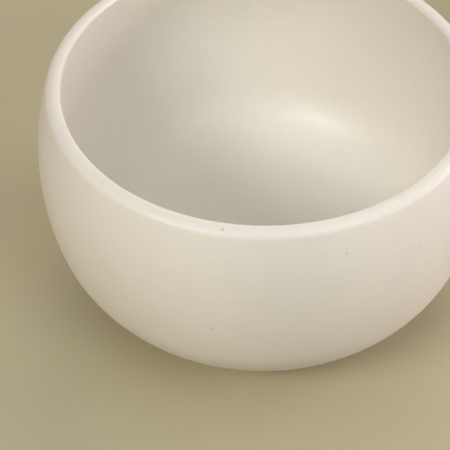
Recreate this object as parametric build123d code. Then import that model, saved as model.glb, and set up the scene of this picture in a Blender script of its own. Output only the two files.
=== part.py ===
"""Stoneware lather bowl for wet shaving: one fired clay body under three coats of glaze.

The bowl is turned about +Z and stands on its foot ring at z = 0, with its origin at the middle of that ring.
Profiles are drawn in the XZ plane as (radius, height) pairs. The clay's surface is the finished surface moved
in by one coat of glaze, so both come from the same functions: inset 0 gives the glaze and inset GLAZE the clay.
"""

from build123d import *

import os
from math import atan2, cos, degrees, hypot, radians, sin, sqrt

# Driving dimensions, in millimetres and degrees
BELLY_DIAMETER = 116.0  # widest outside diameter
HEIGHT = 67.5  # table to the crown of the lip
BELLY_DROP = 21.4  # crown of the lip down to the widest point
SHOULDER_RADIUS = 73.7  # outside arc that runs from the lip past the belly
SHOULDER_SWEEP = 16.7  # how far below the belly that arc ends and the heel begins
HEEL_RADIUS = 33.8  # outside arc that turns the wall in under the bowl
BELLY_WALL = 4.2  # thickness of the wall at the widest point
INNER_WALL_RADIUS = 84.0  # inside arc of the wall
FLOOR_DEPTH = 58.2  # crown of the lip down to the floor inside
FLOOR_RADIUS = 31.0  # flat part of the floor, where a soap puck lies
LIP_OUTER_ROUND = 2.8
LIP_INNER_ROUND = 1.0
FOOT_RADIUS = 33.5  # outside of the bare foot ring
FOOT_WIDTH = 3.8
FOOT_HOLLOW_ROUND = 1.5  # hollow where the heel meets the foot ring
FOOT_EDGE_ROUND = 0.7
RECESS_DEPTH = 2.6  # table up to the clay inside the foot ring
RECESS_ROUND = 0.7
GLAZE = 0.4  # thickness of each coat
GLAZE_LINE = 1.3  # height above the table up to which the foot ring is wiped clean


def polar(centre, radius, angle):
    """The point at that angle from +X on a circle in the profile plane."""
    return (centre[0] + radius * cos(radians(angle)), centre[1] + radius * sin(radians(angle)))


def angle_to(centre, point):
    """Direction of a point from a centre, in degrees from +X."""
    return degrees(atan2(point[1] - centre[1], point[0] - centre[0]))


def arc(centre, radius, start, end):
    """An arc of the profile about a centre, from one angle to another."""
    points = [polar(centre, radius, angle) for angle in (start, (start + end) / 2, end)]
    return ThreePointArc(*[(r, 0, z) for r, z in points])


def line(start, end):
    """A straight stretch of the profile."""
    return Line((start[0], 0, start[1]), (end[0], 0, end[1]))


def lip_centre(wall_centre, reach, height):
    """Centre of a lip rounding at that height, at a distance of reach from the wall arc's centre."""
    return (wall_centre[0] + sqrt(reach**2 - (height - wall_centre[1]) ** 2), height)


# Arc centres, shared by the clay and by the coats on it
BELLY_RADIUS = BELLY_DIAMETER / 2
BELLY_Z = HEIGHT - BELLY_DROP
FLOOR_Z = HEIGHT - FLOOR_DEPTH
SHOULDER_CENTRE = (BELLY_RADIUS - SHOULDER_RADIUS, BELLY_Z)
INNER_WALL_CENTRE = (BELLY_RADIUS - BELLY_WALL - INNER_WALL_RADIUS, BELLY_Z)
HEEL_CENTRE = polar(SHOULDER_CENTRE, SHOULDER_RADIUS - HEEL_RADIUS, -SHOULDER_SWEEP)
LIP_OUTER_CENTRE = lip_centre(SHOULDER_CENTRE, SHOULDER_RADIUS - LIP_OUTER_ROUND, HEIGHT - LIP_OUTER_ROUND)
LIP_INNER_CENTRE = lip_centre(INNER_WALL_CENTRE, INNER_WALL_RADIUS + LIP_INNER_ROUND, HEIGHT - LIP_INNER_ROUND)
LIP_SEAM = (LIP_OUTER_CENTRE[0] + LIP_INNER_CENTRE[0]) / 2  # where the inside and outside coats meet

# The cove is the arc that is tangent to both the flat floor and the inner wall arc
COVE_RUN = FLOOR_RADIUS - INNER_WALL_CENTRE[0]
COVE_DROP = BELLY_Z - FLOOR_Z
COVE_RADIUS = (INNER_WALL_RADIUS**2 - COVE_RUN**2 - COVE_DROP**2) / (2 * (INNER_WALL_RADIUS - COVE_DROP))
COVE_CENTRE = (FLOOR_RADIUS, FLOOR_Z + COVE_RADIUS)

# The hollow above the foot ring touches the clay's heel arc and the ring's upright outside wall
HOLLOW_REACH = HEEL_RADIUS - GLAZE + FOOT_HOLLOW_ROUND
HOLLOW_RUN = FOOT_RADIUS + FOOT_HOLLOW_ROUND - HEEL_CENTRE[0]
HOLLOW_CENTRE = (FOOT_RADIUS + FOOT_HOLLOW_ROUND, HEEL_CENTRE[1] - sqrt(HOLLOW_REACH**2 - HOLLOW_RUN**2))

FOOT_INNER_RADIUS = FOOT_RADIUS - FOOT_WIDTH
RECESS_CENTRE = (FOOT_INNER_RADIUS - RECESS_ROUND, RECESS_DEPTH - RECESS_ROUND)


def outer_wall(inset, foot_end):
    """Outside of the bowl, from the seam on the lip down to a height of foot_end on the foot ring."""
    lip_end = angle_to(SHOULDER_CENTRE, LIP_OUTER_CENTRE)
    heel_end = angle_to(HEEL_CENTRE, HOLLOW_CENTRE)
    foot_wall = FOOT_RADIUS + GLAZE - inset
    return [
        line((LIP_SEAM, HEIGHT - inset), (LIP_OUTER_CENTRE[0], HEIGHT - inset)),
        arc(LIP_OUTER_CENTRE, LIP_OUTER_ROUND - inset, 90, lip_end),
        arc(SHOULDER_CENTRE, SHOULDER_RADIUS - inset, lip_end, -SHOULDER_SWEEP),
        arc(HEEL_CENTRE, HEEL_RADIUS - inset, -SHOULDER_SWEEP, heel_end),
        arc(HOLLOW_CENTRE, FOOT_HOLLOW_ROUND - GLAZE + inset, heel_end + 180, 180),
        line((foot_wall, HOLLOW_CENTRE[1]), (foot_wall, foot_end)),
    ]


def inner_wall(inset):
    """Inside of the bowl, from the seam on the lip down to the middle of the floor."""
    lip_end = angle_to(INNER_WALL_CENTRE, LIP_INNER_CENTRE)
    wall_end = angle_to(INNER_WALL_CENTRE, COVE_CENTRE)
    return [
        line((LIP_SEAM, HEIGHT - inset), (LIP_INNER_CENTRE[0], HEIGHT - inset)),
        arc(LIP_INNER_CENTRE, LIP_INNER_ROUND - inset, 90, 180 + lip_end),
        arc(INNER_WALL_CENTRE, INNER_WALL_RADIUS + inset, lip_end, wall_end),
        arc(COVE_CENTRE, COVE_RADIUS + inset, wall_end, -90),
        line((FLOOR_RADIUS, FLOOR_Z - inset), (0, FLOOR_Z - inset)),
    ]


def underside(inset, ring_end):
    """Inside of the foot ring from a height of ring_end, and the ceiling of the recess to its middle."""
    ring_wall = FOOT_INNER_RADIUS - GLAZE + inset
    ceiling = RECESS_DEPTH - GLAZE + inset
    return [
        line((ring_wall, ring_end), (ring_wall, RECESS_CENTRE[1])),
        arc(RECESS_CENTRE, RECESS_ROUND - GLAZE + inset, 0, 90),
        line((RECESS_CENTRE[0], ceiling), (0, ceiling)),
    ]


def foot_ring():
    """The bare underside of the foot ring, with both of its edges rounded."""
    outer = (FOOT_RADIUS - FOOT_EDGE_ROUND, FOOT_EDGE_ROUND)
    inner = (FOOT_INNER_RADIUS + FOOT_EDGE_ROUND, FOOT_EDGE_ROUND)
    return [
        arc(outer, FOOT_EDGE_ROUND, 0, -90),
        line((outer[0], 0), (inner[0], 0)),
        arc(inner, FOOT_EDGE_ROUND, -90, -180),
    ]


def turned(edges):
    """The solid of revolution of a closed profile."""
    return revolve(make_face(edges), Axis.Z, 360)


def stoneware_body():
    """The fired clay: lip, wall, floor and foot ring in one piece."""
    axis = line((0, RECESS_DEPTH), (0, FLOOR_Z - GLAZE))
    foot = foot_ring() + underside(GLAZE, FOOT_EDGE_ROUND)
    return turned(outer_wall(GLAZE, FOOT_EDGE_ROUND) + foot + [axis] + inner_wall(GLAZE))


def inside_glaze():
    """Satin liner coat, poured in: it covers the floor and the wall and ends on the crown of the lip."""
    seam = line((LIP_SEAM, HEIGHT - GLAZE), (LIP_SEAM, HEIGHT))
    axis = line((0, FLOOR_Z - GLAZE), (0, FLOOR_Z))
    return turned(inner_wall(0) + [axis] + inner_wall(GLAZE) + [seam])


def outside_glaze():
    """Matt outer coat: it starts on the crown of the lip and thins to nothing at the glaze line."""
    seam = line((LIP_SEAM, HEIGHT - GLAZE), (LIP_SEAM, HEIGHT))
    nose_z = GLAZE_LINE + GLAZE
    nose = arc((FOOT_RADIUS, nose_z), GLAZE, 0, -90)
    return turned(outer_wall(0, nose_z) + [nose] + outer_wall(GLAZE, GLAZE_LINE) + [seam])


def underside_glaze():
    """Coat on the recess inside the foot ring, cut off from the outer coat by the wiped ring."""
    nose_z = GLAZE_LINE + GLAZE
    nose = arc((FOOT_INNER_RADIUS, nose_z), GLAZE, -180, -90)
    axis = line((0, RECESS_DEPTH - GLAZE), (0, RECESS_DEPTH))
    return turned(underside(0, nose_z) + [axis] + underside(GLAZE, GLAZE_LINE) + [nose])


os.makedirs("parts", exist_ok=True)
for make in (stoneware_body, inside_glaze, outside_glaze, underside_glaze):
    export_step(make(), f"parts/{make.__name__}.step")

heel_gap = hypot(COVE_CENTRE[0] - HEEL_CENTRE[0], COVE_CENTRE[1] - HEEL_CENTRE[1])
print(f"mouth inside {2 * (LIP_INNER_CENTRE[0] - LIP_INNER_ROUND):.1f}, cove radius {COVE_RADIUS:.2f}")
print(f"thinnest wall at the heel about {HEEL_RADIUS - COVE_RADIUS - heel_gap:.2f}")
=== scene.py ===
"""Looks of the stoneware shaving bowl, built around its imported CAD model.

Metres, +Z up, origin under the middle of the foot ring.
"""

from math import atan2, cos, degrees, hypot, pi, radians, sin, sqrt

import bpy
import numpy as np
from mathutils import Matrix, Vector


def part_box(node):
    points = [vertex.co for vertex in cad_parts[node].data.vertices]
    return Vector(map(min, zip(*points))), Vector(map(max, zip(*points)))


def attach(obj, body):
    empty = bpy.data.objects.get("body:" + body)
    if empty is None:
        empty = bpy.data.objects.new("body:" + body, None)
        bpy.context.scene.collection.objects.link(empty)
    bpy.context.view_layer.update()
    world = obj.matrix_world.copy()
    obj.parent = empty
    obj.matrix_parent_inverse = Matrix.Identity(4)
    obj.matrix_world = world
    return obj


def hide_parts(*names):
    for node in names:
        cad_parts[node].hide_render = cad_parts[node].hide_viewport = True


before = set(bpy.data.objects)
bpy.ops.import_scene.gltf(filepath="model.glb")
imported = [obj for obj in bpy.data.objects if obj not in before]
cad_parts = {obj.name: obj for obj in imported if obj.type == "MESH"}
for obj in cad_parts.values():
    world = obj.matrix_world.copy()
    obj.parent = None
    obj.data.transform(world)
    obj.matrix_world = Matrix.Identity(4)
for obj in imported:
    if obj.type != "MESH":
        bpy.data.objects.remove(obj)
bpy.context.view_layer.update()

MM = 0.001

# ---------------------------------------------------------------- sizes of the bowl

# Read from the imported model
OUTSIDE_LOW, OUTSIDE_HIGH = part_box("outside_glaze")
INSIDE_LOW, INSIDE_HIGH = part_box("inside_glaze")
BELLY_RADIUS = (OUTSIDE_HIGH.x - OUTSIDE_LOW.x) / 2
HEIGHT = OUTSIDE_HIGH.z

# The same driving dimensions as the CAD model's
BELLY_DROP = 21.4 * MM  # crown of the lip down to the widest point
SHOULDER_RADIUS = 73.7 * MM  # outside arc from the lip past the belly
SHOULDER_SWEEP = 16.7  # degrees below the belly where the heel begins
HEEL_RADIUS = 33.8 * MM
BELLY_WALL = 4.2 * MM
INNER_WALL_RADIUS = 84.0 * MM
FLOOR_DEPTH = 58.2 * MM
FLOOR_RADIUS = 31.0 * MM
LIP_OUTER_ROUND = 2.8 * MM
LIP_INNER_ROUND = 1.0 * MM
FOOT_RADIUS = 33.5 * MM
FOOT_WIDTH = 3.8 * MM
FOOT_HOLLOW_ROUND = 1.5 * MM
FOOT_EDGE_ROUND = 0.7 * MM
RECESS_DEPTH = 2.6 * MM
RECESS_ROUND = 0.7 * MM
GLAZE = 0.4 * MM
GLAZE_LINE = 1.3 * MM

# Traces of the making, which the CAD model leaves out
SEAM_ROUND = 0.09 * MM  # each coat's soft edge where the two meet on the crown
LOBE_DEPTH = 0.05 * MM  # how far the bowl is out of round
LIP_DIP = 0.06 * MM  # how far the lip is off level
RING_DEPTH = 0.012 * MM  # turning rings on the wall
RING_PITCH = 6.5 * MM
RING_FADE = 25 * MM  # height up to which the rings grow from nothing
RING_STRETCH = 0.08  # how slowly a ringed pattern changes round the bowl
OVAL = (2, 0.6, 0.7)  # out of round: waves round the bowl, share, and turn of the first wave in radians
LOBES = (3, 0.4, -1.1)
LIP_WAVES = (2, 1.0, 2.4)

# Sizes of the patterns in the glaze
CLOUD_SIZE = 30 * MM
MOTTLE_SIZE = 2.2 * MM
RING_SIZE = 1.1 * MM
PEEL_SIZE = 1.6 * MM
GRAIN_SIZE = 0.25 * MM

# Tone and gloss of the glaze, as shares
CLOUD_SHARE = 0.6
MOTTLE_SHARE = 0.4
TONE_REACH = 0.45  # how far the patterns' sum goes to reach the thinnest or thickest tone
THIN_TONE = (1.03, 1.02, 1.0)
THICK_TONE = (0.97, 0.965, 0.95)
GLOSS_CHANGE = 0.12  # how much the mottling changes the roughness

# Relief of the glaze
PEEL_DEPTH = 0.010 * MM
GRAIN_DEPTH = 0.004 * MM
COMB_PITCH = 0.6 * MM  # fine lines that the wet sponge left along the lip
COMB_DEPTH = 0.12 * MM
COMB_REACH = 3.0 * MM  # how far down from the crown they run

# Iron spots, and a painted reflection: pinholes painted dark only in the one spot where a lamp's reflection
# falls on the outside
IRON_SPECK_AND_PAINTED_PINHOLE = (0.20, 0.12, 0.07, 1)
SPECK_SPACING = 16 * MM
SPECK_RADIUS = 0.20 * MM
SPECK_DEPTH = 0.05 * MM
SPECK_STRENGTH = 0.42
REFLECTION_PINHOLE_STRENGTH = 0.5  # as a share of a speck's
DOT_CORE = 0.4  # full-strength middle of a strewn dot, as a share of its radius
SPECK_CORE = 0.3
REFLECTION_SPOT_CORE = 0.2
LARGE_SPECKS = [  # turn from +X in degrees, distance from the axis, height, radius
    (-101.0, 53.9 * MM, 67.2 * MM, 0.45 * MM),
    (-103.0, 57.2 * MM, 36.4 * MM, 0.50 * MM),
    (-70.0, 56.8 * MM, 59.6 * MM, 0.38 * MM),
    (-64.5, 56.1 * MM, 63.0 * MM, 0.32 * MM),
    (-49.0, 57.6 * MM, 53.0 * MM, 0.32 * MM),
    (40.0, 57.0 * MM, 58.0 * MM, 0.40 * MM),
    (135.0, 57.6 * MM, 41.0 * MM, 0.38 * MM),
]
# Painted reflection: pinholes are painted dark only in this spot, where a lamp's reflection falls on the
# outside and shows them up
REFLECTION_PINHOLE_SPOT = (-110.5, 57.9 * MM, 50.5 * MM, 5.0 * MM)
REFLECTION_PINHOLE_SPACING = 1.1 * MM
REFLECTION_PINHOLE_RADIUS = 0.26 * MM

# Bare clay
SAND_SIZE = 0.5 * MM
CLAY_PATCH_SIZE = 6 * MM
WIPE_SIZE = 0.6 * MM
CLAY_TONE = (1.1, 0.84)  # lightest and darkest, against the middle
GROG_SPACING = 0.9 * MM
GROG_EDGE = (0.22, 0.12)
CLAY_RELIEF = 0.03 * MM

# Table
TABLE_SIZE = 6.0  # metres
TABLE_CLOUD_SIZE = 40 * MM
TABLE_GRAIN_SIZE = 0.8 * MM
TABLE_TONE = (1.02, 0.98)

# Fineness of the meshes
SEGMENTS = 360  # round the bowl
WALL_STEP = 0.9 * MM  # along a curved profile
FLAT_STEP = 3.0 * MM  # along a straight one
EDGE_STEP = 7.0  # degrees of turn from one profile point to the next on a tight rounding
ON_AXIS = 1e-9


def polar(centre, radius, angle):
    """The point at that angle in degrees from +X on a circle in the profile plane."""
    return (centre[0] + radius * cos(radians(angle)), centre[1] + radius * sin(radians(angle)))


def angle_to(centre, point):
    """Direction of a point from a centre, in degrees from +X."""
    return degrees(atan2(point[1] - centre[1], point[0] - centre[0]))


def arc(centre, radius, start, end):
    """Profile points along an arc, close enough for both its length and its turn."""
    turn = abs(end - start)
    count = max(round(turn / EDGE_STEP), round(radians(turn) * radius / WALL_STEP), 2)
    return [polar(centre, radius, start + (end - start) * i / count) for i in range(count + 1)]


def line(start, end):
    """Profile points along a straight stretch."""
    count = max(round(hypot(end[0] - start[0], end[1] - start[1]) / FLAT_STEP), 1)
    return [tuple(a + (b - a) * i / count for a, b in zip(start, end)) for i in range(count + 1)]


def lip_centre(wall_centre, reach, height):
    """Centre of a lip rounding at that height, at a distance of reach from the wall arc's centre."""
    return (wall_centre[0] + sqrt(reach**2 - (height - wall_centre[1]) ** 2), height)


# Arc centres, as in the CAD model
BELLY_Z = HEIGHT - BELLY_DROP
FLOOR_Z = HEIGHT - FLOOR_DEPTH
SHOULDER_CENTRE = (BELLY_RADIUS - SHOULDER_RADIUS, BELLY_Z)
INNER_WALL_CENTRE = (BELLY_RADIUS - BELLY_WALL - INNER_WALL_RADIUS, BELLY_Z)
HEEL_CENTRE = polar(SHOULDER_CENTRE, SHOULDER_RADIUS - HEEL_RADIUS, -SHOULDER_SWEEP)
LIP_OUTER_CENTRE = lip_centre(
    SHOULDER_CENTRE, SHOULDER_RADIUS - LIP_OUTER_ROUND, HEIGHT - LIP_OUTER_ROUND
)
LIP_INNER_CENTRE = lip_centre(
    INNER_WALL_CENTRE, INNER_WALL_RADIUS + LIP_INNER_ROUND, HEIGHT - LIP_INNER_ROUND
)
LIP_SEAM = (LIP_OUTER_CENTRE[0] + LIP_INNER_CENTRE[0]) / 2
COVE_RUN = FLOOR_RADIUS - INNER_WALL_CENTRE[0]
COVE_DROP = BELLY_Z - FLOOR_Z
COVE_RADIUS = (INNER_WALL_RADIUS**2 - COVE_RUN**2 - COVE_DROP**2) / (2 * (INNER_WALL_RADIUS - COVE_DROP))
COVE_CENTRE = (FLOOR_RADIUS, FLOOR_Z + COVE_RADIUS)
HOLLOW_REACH = HEEL_RADIUS - GLAZE + FOOT_HOLLOW_ROUND
HOLLOW_RUN = FOOT_RADIUS + FOOT_HOLLOW_ROUND - HEEL_CENTRE[0]
HOLLOW_CENTRE = (FOOT_RADIUS + FOOT_HOLLOW_ROUND, HEEL_CENTRE[1] - sqrt(HOLLOW_REACH**2 - HOLLOW_RUN**2))
FOOT_INNER_RADIUS = FOOT_RADIUS - FOOT_WIDTH
RECESS_CENTRE = (FOOT_INNER_RADIUS - RECESS_ROUND, RECESS_DEPTH - RECESS_ROUND)


def outer_wall(inset, foot_end):
    """Outside of the bowl, from the lip's outer rounding down to a height of foot_end on the foot ring."""
    lip_end = angle_to(SHOULDER_CENTRE, LIP_OUTER_CENTRE)
    heel_end = angle_to(HEEL_CENTRE, HOLLOW_CENTRE)
    foot_wall = FOOT_RADIUS + GLAZE - inset
    return (
        arc(LIP_OUTER_CENTRE, LIP_OUTER_ROUND - inset, 90, lip_end)
        + arc(SHOULDER_CENTRE, SHOULDER_RADIUS - inset, lip_end, -SHOULDER_SWEEP)[1:]
        + arc(HEEL_CENTRE, HEEL_RADIUS - inset, -SHOULDER_SWEEP, heel_end)[1:]
        + arc(HOLLOW_CENTRE, FOOT_HOLLOW_ROUND - GLAZE + inset, heel_end + 180, 180)[1:]
        + line((foot_wall, HOLLOW_CENTRE[1]), (foot_wall, foot_end))[1:]
    )


def inner_wall(inset):
    """Inside of the bowl, from the lip's inner rounding down to the middle of the floor."""
    lip_end = angle_to(INNER_WALL_CENTRE, LIP_INNER_CENTRE)
    wall_end = angle_to(INNER_WALL_CENTRE, COVE_CENTRE)
    return (
        arc(LIP_INNER_CENTRE, LIP_INNER_ROUND - inset, 90, 180 + lip_end)
        + arc(INNER_WALL_CENTRE, INNER_WALL_RADIUS + inset, lip_end, wall_end)[1:]
        + arc(COVE_CENTRE, COVE_RADIUS + inset, wall_end, -90)[1:]
        + line((FLOOR_RADIUS, FLOOR_Z - inset), (0, FLOOR_Z - inset))[1:]
    )


def underside(inset, ring_end):
    """Inside of the foot ring from a height of ring_end, and the ceiling of the recess to its middle."""
    ring_wall = FOOT_INNER_RADIUS - GLAZE + inset
    ceiling = RECESS_DEPTH - GLAZE + inset
    return (
        line((ring_wall, ring_end), (ring_wall, RECESS_CENTRE[1]))
        + arc(RECESS_CENTRE, RECESS_ROUND - GLAZE + inset, 0, 90)[1:]
        + line((RECESS_CENTRE[0], ceiling), (0, ceiling))[1:]
    )


def foot_ring():
    """The bare underside of the foot ring, with both of its edges rounded."""
    outer = (FOOT_RADIUS - FOOT_EDGE_ROUND, FOOT_EDGE_ROUND)
    inner = (FOOT_INNER_RADIUS + FOOT_EDGE_ROUND, FOOT_EDGE_ROUND)
    return (
        arc(outer, FOOT_EDGE_ROUND, 0, -90)
        + line((outer[0], 0), (inner[0], 0))[1:]
        + arc(inner, FOOT_EDGE_ROUND, -90, -180)[1:]
    )


# ---------------------------------------------------------------- meshes


def waves(turn, shape):
    """A ripple round the bowl from its number of waves, its share and the turn of its first wave."""
    count, share, phase = shape
    return share * np.cos(count * turn + phase)


def hand_finished(points):
    """Bends a true body of revolution into one off the wheel: out of round, ringed, its lip not level.

    It is one smooth map of space for every piece, so the coats stay on the clay. It only ever draws in.
    """
    x, y, z = points.T
    turn = np.arctan2(y, x)
    up = np.clip(z / HEIGHT, 0, 1)
    oval = LOBE_DEPTH * (waves(turn, OVAL) + waves(turn, LOBES) - 1) * up
    wander = 0.4 * np.sin(turn + 0.5) + 0.3 * np.sin(2 * turn)  # how the rings spiral off level
    rings = RING_DEPTH * (np.sin(2 * pi * z / RING_PITCH + wander) - 1) * np.clip(z / RING_FADE, 0, 1)
    wall = np.clip(np.hypot(x, y) / BELLY_RADIUS, 0, 1) ** 2
    drawn_in = 1 + (oval + rings) * wall / BELLY_RADIUS
    level = LIP_DIP * (waves(turn, LIP_WAVES) - 1) * up**3
    return np.stack([x * drawn_in, y * drawn_in, z + level], 1)


def turned(name, profile):
    """A closed mesh turned from a profile of (radius, height) points, listed once round the section.

    A section with both ends on the axis is closed there. Any other joins its last point to its first.
    """
    ahead = profile[1:] + profile[:1]
    area = sum(r * next_z - next_r * z for (r, z), (next_r, next_z) in zip(profile, ahead)) / 2
    if area > 0:  # the faces look out of the solid when the section runs clockwise
        profile = profile[::-1]
    turn = np.arange(SEGMENTS) * 2 * pi / SEGMENTS
    circle = np.stack([np.cos(turn), np.sin(turn)], 1)
    vertices, rings = [], []
    for radius, height in profile:
        size = 1 if radius < ON_AXIS else SEGMENTS
        first = sum(len(ring) for ring in vertices)
        vertices.append(np.column_stack([radius * circle[:size], np.full(size, height)]))
        rings.append(first + np.arange(SEGMENTS) % size)
    pairs = list(zip(rings, rings[1:]))
    if profile[0][0] > ON_AXIS:
        pairs.append((rings[-1], rings[0]))
    faces = []
    for upper, lower in pairs:
        corners = np.stack([upper, lower, np.roll(lower, -1), np.roll(upper, -1)], 1)
        faces += [list(dict.fromkeys(corner)) for corner in corners.tolist()]
    mesh = bpy.data.meshes.new(name)
    mesh.from_pydata(hand_finished(np.concatenate(vertices)).tolist(), [], faces)
    mesh.shade_smooth()
    piece = bpy.data.objects.new(name, mesh)
    bpy.context.scene.collection.objects.link(piece)
    return piece


def add_piece(name, node, finish, profile):
    """Turns a piece that stands for a CAD node, gives it a material, puts it under the root body and hides
    the node.
    """
    piece = turned(name, profile)
    piece.data.materials.append(finish)
    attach(piece, "root")
    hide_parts(node)


# ---------------------------------------------------------------- materials


def add(tree, kind, inputs=(), **settings):
    """Adds a shader node. Each input is a socket to link from, or a value to set."""
    made = tree.nodes.new(kind)
    for key, value in settings.items():
        setattr(made, key, value)
    for key, value in dict(inputs).items():
        if isinstance(value, bpy.types.NodeSocket):
            tree.links.new(value, made.inputs[key])
        else:
            made.inputs[key].default_value = value
    return made


def maths(tree, operation, *values):
    """The result of a Math node on sockets and numbers."""
    return add(tree, "ShaderNodeMath", enumerate(values), operation=operation).outputs["Value"]


def noise(tree, vector, size, detail=2.0):
    """Smooth noise from -0.5 to 0.5, with features about that size in metres."""
    inputs = {"Vector": vector, "Scale": 1 / size, "Detail": detail, "Roughness": 0.5}
    made = add(tree, "ShaderNodeTexNoise", inputs, noise_dimensions="3D")
    return maths(tree, "SUBTRACT", made.outputs["Fac"], 0.5)


def fade(tree, value, start, end):
    """A smooth step: 0 where value is at start, 1 where it is at end."""
    inputs = {"Value": value, "From Min": start, "From Max": end}
    return add(tree, "ShaderNodeMapRange", inputs, interpolation_type="SMOOTHSTEP").outputs["Result"]


def blend(tree, share, first, second):
    """A mix of two colours."""
    made = tree.nodes.new("ShaderNodeMix")
    made.data_type = "RGBA"
    for key, value in (("Factor_Float", share), ("A_Color", first), ("B_Color", second)):
        socket = next(s for s in made.inputs if s.identifier == key)
        if isinstance(value, bpy.types.NodeSocket):
            tree.links.new(value, socket)
        else:
            socket.default_value = value
    return next(s for s in made.outputs if s.identifier == "Result_Color")


def grain_places(tree):
    """Object coordinates, the height, and coordinates that draw a pattern out into rings round the bowl."""
    place = add(tree, "ShaderNodeTexCoord").outputs["Object"]
    axes = add(tree, "ShaderNodeSeparateXYZ", {"Vector": place})
    squares = [maths(tree, "MULTIPLY", axes.outputs[a], axes.outputs[a]) for a in "XY"]
    radius = maths(tree, "SQRT", maths(tree, "ADD", *squares))
    slow = maths(tree, "MULTIPLY", axes.outputs["X"], RING_STRETCH)
    height = axes.outputs["Z"]
    ringed = add(tree, "ShaderNodeCombineXYZ", {"X": radius, "Y": height, "Z": slow})
    return place, height, ringed.outputs["Vector"]


def around(tree, place, spot, inner):
    """A soft mask about a spot given as turn, distance from the axis, height and radius.

    It is 1 within inner times that radius.
    """
    turn, reach, height, radius = spot
    centre = (reach * cos(radians(turn)), reach * sin(radians(turn)), height)
    gap = add(tree, "ShaderNodeVectorMath", {0: place, 1: centre}, operation="DISTANCE")
    return fade(tree, gap.outputs["Value"], radius, radius * inner)


def scattered(tree, place, spacing, radius):
    """A mask of small dots strewn through space."""
    cells = add(tree, "ShaderNodeTexVoronoi", {"Vector": place, "Scale": 1 / spacing})
    return fade(tree, maths(tree, "MULTIPLY", cells.outputs["Distance"], spacing), radius, radius * DOT_CORE)


def specks_and_painted_pinholes(tree, place):
    """A mask of all that is dark in the outer glaze: strewn iron dots, large ones, and pinholes painted dark
    in the spot where a lamp's reflection falls, a painted reflection.
    """
    mask = scattered(tree, place, SPECK_SPACING, SPECK_RADIUS)
    for spot in LARGE_SPECKS:
        mask = maths(tree, "MAXIMUM", mask, around(tree, place, spot, SPECK_CORE))
    # painted reflection: pinholes darkened only in the spot where a lamp's reflection falls
    reflection_spot = around(tree, place, REFLECTION_PINHOLE_SPOT, REFLECTION_SPOT_CORE)
    painted_pinholes = maths(tree, "MULTIPLY", scattered(tree, place, REFLECTION_PINHOLE_SPACING, REFLECTION_PINHOLE_RADIUS), reflection_spot)
    return maths(tree, "MAXIMUM", mask, maths(tree, "MULTIPLY", painted_pinholes, REFLECTION_PINHOLE_STRENGTH))


def glaze(name, tint, roughness, coat, coat_roughness, ringed_share, speckled_with_painted_pinholes):
    """A fired glaze: clouded, mottled, faintly ringed, with orange peel, grain and lines on the lip."""
    made = bpy.data.materials.new(name)
    made.use_nodes = True
    tree = made.node_tree
    shader = tree.nodes["Principled BSDF"]
    place, height, ringed = grain_places(tree)
    clouds = noise(tree, place, CLOUD_SIZE)
    mottle = noise(tree, place, MOTTLE_SIZE, detail=4)
    rings = noise(tree, ringed, RING_SIZE, detail=3)
    mottled = maths(tree, "MULTIPLY", mottle, MOTTLE_SHARE)
    depth = maths(tree, "ADD", maths(tree, "MULTIPLY", clouds, CLOUD_SHARE), mottled)
    depth = maths(tree, "MULTIPLY_ADD", rings, ringed_share, depth)
    thin = tuple(c * f for c, f in zip(tint, THIN_TONE)) + (1,)
    thick = tuple(c * f for c, f in zip(tint, THICK_TONE)) + (1,)
    colour = blend(tree, fade(tree, depth, -TONE_REACH, TONE_REACH), thin, thick)
    peel = maths(tree, "MULTIPLY", noise(tree, place, PEEL_SIZE, detail=1), PEEL_DEPTH)
    relief = maths(tree, "MULTIPLY_ADD", noise(tree, place, GRAIN_SIZE, detail=2), GRAIN_DEPTH, peel)
    on_lip = fade(tree, height, HEIGHT - COMB_REACH, HEIGHT)
    comb = maths(tree, "MULTIPLY", noise(tree, ringed, COMB_PITCH, detail=1), on_lip)
    relief = maths(tree, "MULTIPLY_ADD", comb, COMB_DEPTH, relief)
    # iron spots, and pinholes painted dark where a lamp's reflection falls (painted reflection)
    if speckled_with_painted_pinholes:
        mask = specks_and_painted_pinholes(tree, place)
        colour = blend(tree, maths(tree, "MULTIPLY", mask, SPECK_STRENGTH), colour, IRON_SPECK_AND_PAINTED_PINHOLE)
        relief = maths(tree, "MULTIPLY_ADD", mask, -SPECK_DEPTH, relief)
    tree.links.new(colour, shader.inputs["Base Color"])
    uneven = maths(tree, "MULTIPLY_ADD", mottle, GLOSS_CHANGE, roughness)
    tree.links.new(uneven, shader.inputs["Roughness"])
    bump = add(tree, "ShaderNodeBump", {"Height": relief, "Distance": 1.0, "Strength": 1.0})
    tree.links.new(bump.outputs["Normal"], shader.inputs["Normal"])
    tree.links.new(bump.outputs["Normal"], shader.inputs["Coat Normal"])
    shader.inputs["Coat Weight"].default_value = coat
    shader.inputs["Coat Roughness"].default_value = coat_roughness
    return made


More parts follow.
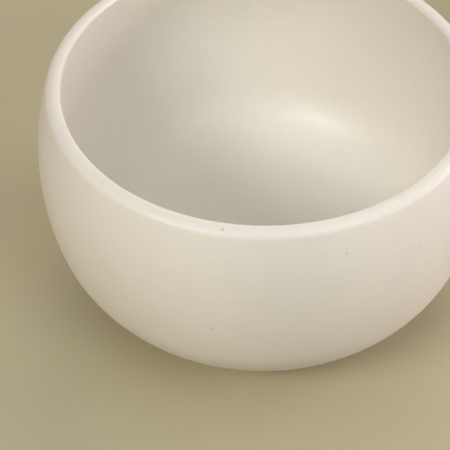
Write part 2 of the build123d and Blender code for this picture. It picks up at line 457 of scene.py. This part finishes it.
def bare_clay(name, tint):
    """Fired stoneware where the glaze was wiped off: sandy, with grog and iron in it."""
    made = bpy.data.materials.new(name)
    made.use_nodes = True
    tree = made.node_tree
    shader = tree.nodes["Principled BSDF"]
    place, _, ringed = grain_places(tree)
    sand = noise(tree, place, SAND_SIZE, detail=3)
    patches = noise(tree, place, CLAY_PATCH_SIZE)
    wiped = noise(tree, ringed, WIPE_SIZE, detail=2)
    tone = maths(tree, "ADD", sand, maths(tree, "ADD", patches, wiped))
    light = tuple(c * CLAY_TONE[0] for c in tint) + (1,)
    dark = tuple(c * CLAY_TONE[1] for c in tint) + (1,)
    colour = blend(tree, fade(tree, tone, -0.5, 0.5), light, dark)
    grog = add(tree, "ShaderNodeTexVoronoi", {"Vector": place, "Scale": 1 / GROG_SPACING})
    colour = blend(tree, fade(tree, grog.outputs["Distance"], *GROG_EDGE), colour, IRON_SPECK_AND_PAINTED_PINHOLE)
    tree.links.new(colour, shader.inputs["Base Color"])
    relief = maths(tree, "MULTIPLY", maths(tree, "ADD", sand, wiped), CLAY_RELIEF)
    bump = add(tree, "ShaderNodeBump", {"Height": relief, "Distance": 1.0, "Strength": 1.0})
    tree.links.new(bump.outputs["Normal"], shader.inputs["Normal"])
    shader.inputs["Roughness"].default_value = 0.85
    return made


def table_top(name, tint):
    """The plain floor: matt, very slightly uneven in tone."""
    made = bpy.data.materials.new(name)
    made.use_nodes = True
    tree = made.node_tree
    shader = tree.nodes["Principled BSDF"]
    place = add(tree, "ShaderNodeTexCoord").outputs["Object"]
    grain = noise(tree, place, TABLE_GRAIN_SIZE, detail=3)
    tone = maths(tree, "ADD", noise(tree, place, TABLE_CLOUD_SIZE), grain)
    light = tuple(c * TABLE_TONE[0] for c in tint) + (1,)
    dark = tuple(c * TABLE_TONE[1] for c in tint) + (1,)
    tree.links.new(blend(tree, fade(tree, tone, -0.5, 0.5), light, dark), shader.inputs["Base Color"])
    shader.inputs["Roughness"].default_value = 0.55
    return made


# ---------------------------------------------------------------- pieces

nose_z = GLAZE_LINE + GLAZE
seam_z = HEIGHT - SEAM_ROUND

add_piece(
    "clay_body",
    "stoneware_body",
    bare_clay("bare_clay", (0.60, 0.50, 0.36)),
    inner_wall(GLAZE)[::-1]
    + outer_wall(GLAZE, FOOT_EDGE_ROUND)
    + foot_ring()[1:]
    + underside(GLAZE, FOOT_EDGE_ROUND)[1:],
)
add_piece(
    "inside_coat",
    "inside_glaze",
    glaze("inside_glaze", (0.78, 0.74, 0.65), 0.5, 0.35, 0.34, 0.2, False),
    inner_wall(GLAZE)[::-1]
    + [(LIP_SEAM, HEIGHT - GLAZE)]
    + arc((LIP_SEAM - SEAM_ROUND, seam_z), SEAM_ROUND, 0, 90)
    + inner_wall(0),
)
add_piece(
    "outside_coat",
    "outside_glaze",
    glaze("outside_glaze", (0.78, 0.74, 0.65), 0.6, 0.25, 0.3, 0.3, True),
    arc((LIP_SEAM + SEAM_ROUND, seam_z), SEAM_ROUND, 180, 90)
    + outer_wall(0, nose_z)
    + arc((FOOT_RADIUS, nose_z), GLAZE, 0, -90)[1:]
    + outer_wall(GLAZE, GLAZE_LINE)[::-1][1:]
    + [(LIP_SEAM, HEIGHT - GLAZE)],
)
add_piece(
    "underside_coat",
    "underside_glaze",
    glaze("underside_glaze", (0.76, 0.72, 0.62), 0.55, 0.2, 0.35, 0.3, False),
    underside(GLAZE, GLAZE_LINE)[::-1]
    + arc((FOOT_INNER_RADIUS, nose_z), GLAZE, -90, -180)[1:]
    + underside(0, nose_z)[1:],
)

# ---------------------------------------------------------------- floor, light and camera

bpy.ops.mesh.primitive_plane_add(size=TABLE_SIZE)
floor = bpy.context.object
floor.name = "floor"
floor.data.materials.append(table_top("floor", (0.452, 0.398, 0.252)))

AIM = Vector((0, 0, 30 * MM))  # where every lamp points
LAMP_DISTANCE = 0.9


def softbox(name, bearing, height, size, power, tint):
    """A soft lamp aimed at the bowl: bearing clockwise from +Y, height above the table, both in degrees."""
    level = cos(radians(height))
    away = Vector((sin(radians(bearing)) * level, cos(radians(bearing)) * level, sin(radians(height))))
    lamp = bpy.data.objects.new(name, bpy.data.lights.new(name, "AREA"))
    lamp.data.shape = "RECTANGLE"
    lamp.data.size, lamp.data.size_y = size
    lamp.data.energy = power
    lamp.data.color = tint
    lamp.location = AIM + away * LAMP_DISTANCE
    lamp.rotation_euler = away.to_track_quat("Z", "Y").to_euler()
    bpy.context.scene.collection.objects.link(lamp)


softbox("key", 219, 38, (0.42, 0.17), 4.4, (1, 0.985, 0.965))
softbox("right_window", 88, 9, (0.25, 0.25), 3.4, (1, 0.9, 0.95))
softbox("right_fill", 72, 25, (0.30, 0.30), 1.6, (1, 0.85, 0.9))
softbox("front_right", 142, 36, (0.45, 0.45), 2.35, (0.9, 0.94, 1))
softbox("back_window", 0, 10, (0.80, 0.30), 1.7, (0.95, 1, 0.84))
softbox("back_fill", 5, 38, (0.40, 0.40), 1.25, (1, 0.82, 0.72))
softbox("back_high", 22, 54, (0.35, 0.20), 0.6, (1, 0.85, 0.61))
softbox("overhead", 180, 78, (0.80, 0.80), 2.45, (0.8, 0.885, 1))
softbox("left_glow", 265, 10, (0.40, 0.30), 0.55, (1, 0.66, 0.46))

world = bpy.data.worlds.new("studio")
bpy.context.scene.world = world
world.use_nodes = True
world.node_tree.nodes["Background"].inputs["Color"].default_value = (1, 0.98, 0.94, 1)
world.node_tree.nodes["Background"].inputs["Strength"].default_value = 0.005

CAMERA_ELEVATION = 43.86  # degrees down to the table
CAMERA_LENS = 196.0
camera = bpy.data.objects.new("camera", bpy.data.cameras.new("camera"))
bpy.context.scene.collection.objects.link(camera)
camera.data.lens = CAMERA_LENS
camera.data.sensor_width = 36.0
camera.location = (-0.00971, -0.47137, 0.47081)
camera.rotation_euler = (radians(90 - CAMERA_ELEVATION), 0, 0)
bpy.context.scene.camera = camera
bpy.context.scene.view_settings.view_transform = "Standard"
